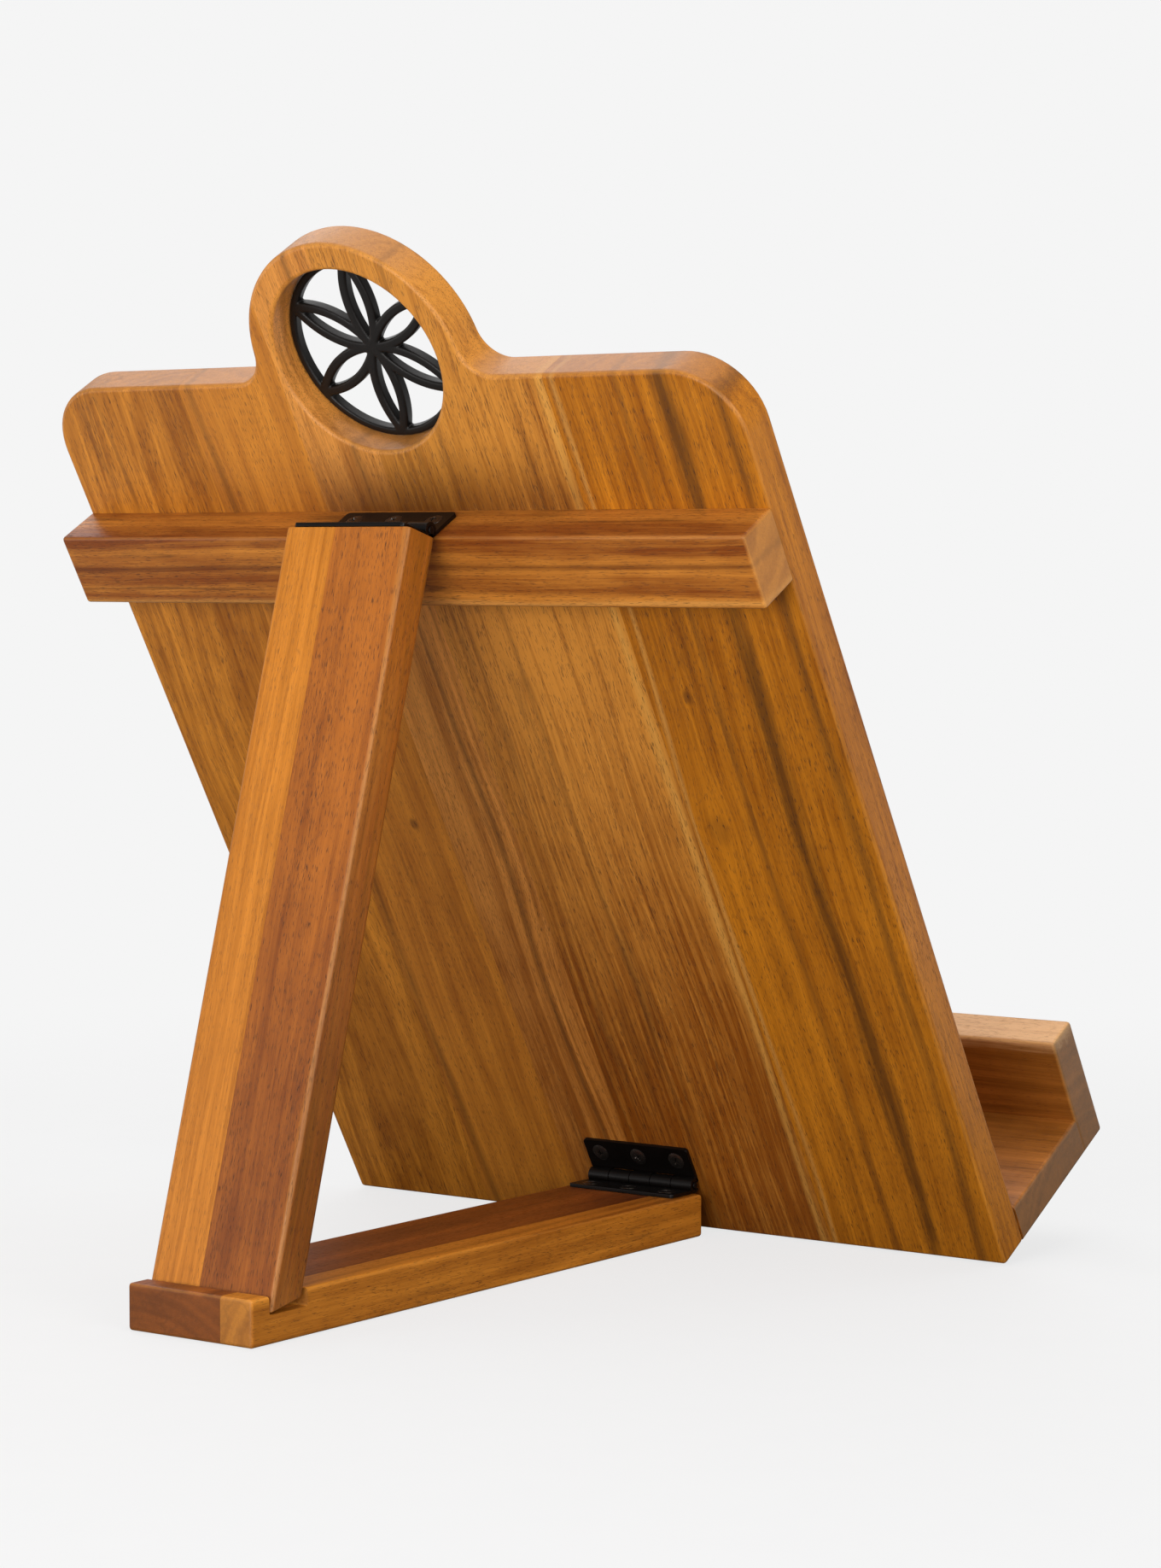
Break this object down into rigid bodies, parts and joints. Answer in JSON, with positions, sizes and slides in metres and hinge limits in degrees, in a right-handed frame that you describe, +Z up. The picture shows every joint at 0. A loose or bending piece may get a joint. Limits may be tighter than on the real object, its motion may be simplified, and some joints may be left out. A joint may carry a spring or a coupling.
{
  "type": "book display stand",
  "caption": "Folding wooden book stand: leaning board with a ringed lobe, ledge and lip, back batten, hinged prop leg and notched foot arm.",
  "frame": {"origin": "centre of the bounding box's bottom, on the surface that the stand stands on", "axes": "+Z up, +X along the width to the reader's right, the reader in front at -Y; the board leans back towards +Y"},
  "size_m": [0.3, 0.3448, 0.3678],
  "materials": {
    "board_wood": "oiled acacia, satin",
    "batten_wood": "oiled acacia, satin",
    "ledge_wood": "oiled acacia, satin",
    "leg_pale_wood": "oiled acacia sapwood, satin",
    "leg_brown_wood": "oiled acacia, satin",
    "arm_gold_wood": "oiled acacia, satin",
    "arm_dark_wood": "oiled acacia heartwood, satin",
    "dowel_wood": "plain beech",
    "hinge_steel": "black coated, semi-gloss",
    "screw_steel": "black coated, semi-gloss",
    "medallion_casting": "black painted casting, satin"
  },
  "bodies": {
    "board": {"board_stave_1": "board_wood", "board_stave_2": "board_wood", "board_stave_3": "board_wood", "board_stave_4": "board_wood", "board_stave_5": "board_wood", "ledge_shelf": "ledge_wood", "ledge_lip": "ledge_wood", "shelf_dowel_1": "dowel_wood", "shelf_dowel_2": "dowel_wood", "shelf_dowel_3": "dowel_wood", "shelf_dowel_4": "dowel_wood", "lip_dowel_1": "dowel_wood", "lip_dowel_2": "dowel_wood", "lip_dowel_3": "dowel_wood", "lip_dowel_4": "dowel_wood", "back_batten": "batten_wood", "medallion": "medallion_casting", "batten_hinge_leaf": "hinge_steel", "batten_hinge_screw_1": "screw_steel", "batten_hinge_screw_2": "screw_steel", "batten_hinge_screw_3": "screw_steel", "board_hinge_leaf": "hinge_steel", "board_hinge_screw_1": "screw_steel", "board_hinge_screw_2": "screw_steel", "board_hinge_screw_3": "screw_steel", "upper_hinge_pin": "hinge_steel", "lower_hinge_pin": "hinge_steel"},
    "leg": {"leg_stave_brown": "leg_brown_wood", "leg_stave_pale": "leg_pale_wood", "leg_hinge_leaf": "hinge_steel", "leg_hinge_screw_1": "screw_steel", "leg_hinge_screw_2": "screw_steel", "leg_hinge_screw_3": "screw_steel"},
    "arm": {"arm_stave_gold": "arm_gold_wood", "arm_stave_dark": "arm_dark_wood", "arm_hinge_leaf": "hinge_steel", "arm_hinge_screw_1": "screw_steel", "arm_hinge_screw_2": "screw_steel", "arm_hinge_screw_3": "screw_steel"}
  },
  "joints": [
    {"name": "leg_swing", "type": "hinge", "parent": "board", "child": "leg", "pos_m": [0, 0.07372, 0.26469], "axis": [1, 0, 0], "range_deg": [0, 134]},
    {"name": "arm_fold", "type": "hinge", "parent": "board", "child": "arm", "pos_m": [0, -0.08641, 0.01905], "axis": [1, 0, 0], "range_deg": [-37, 0]}
  ]
}
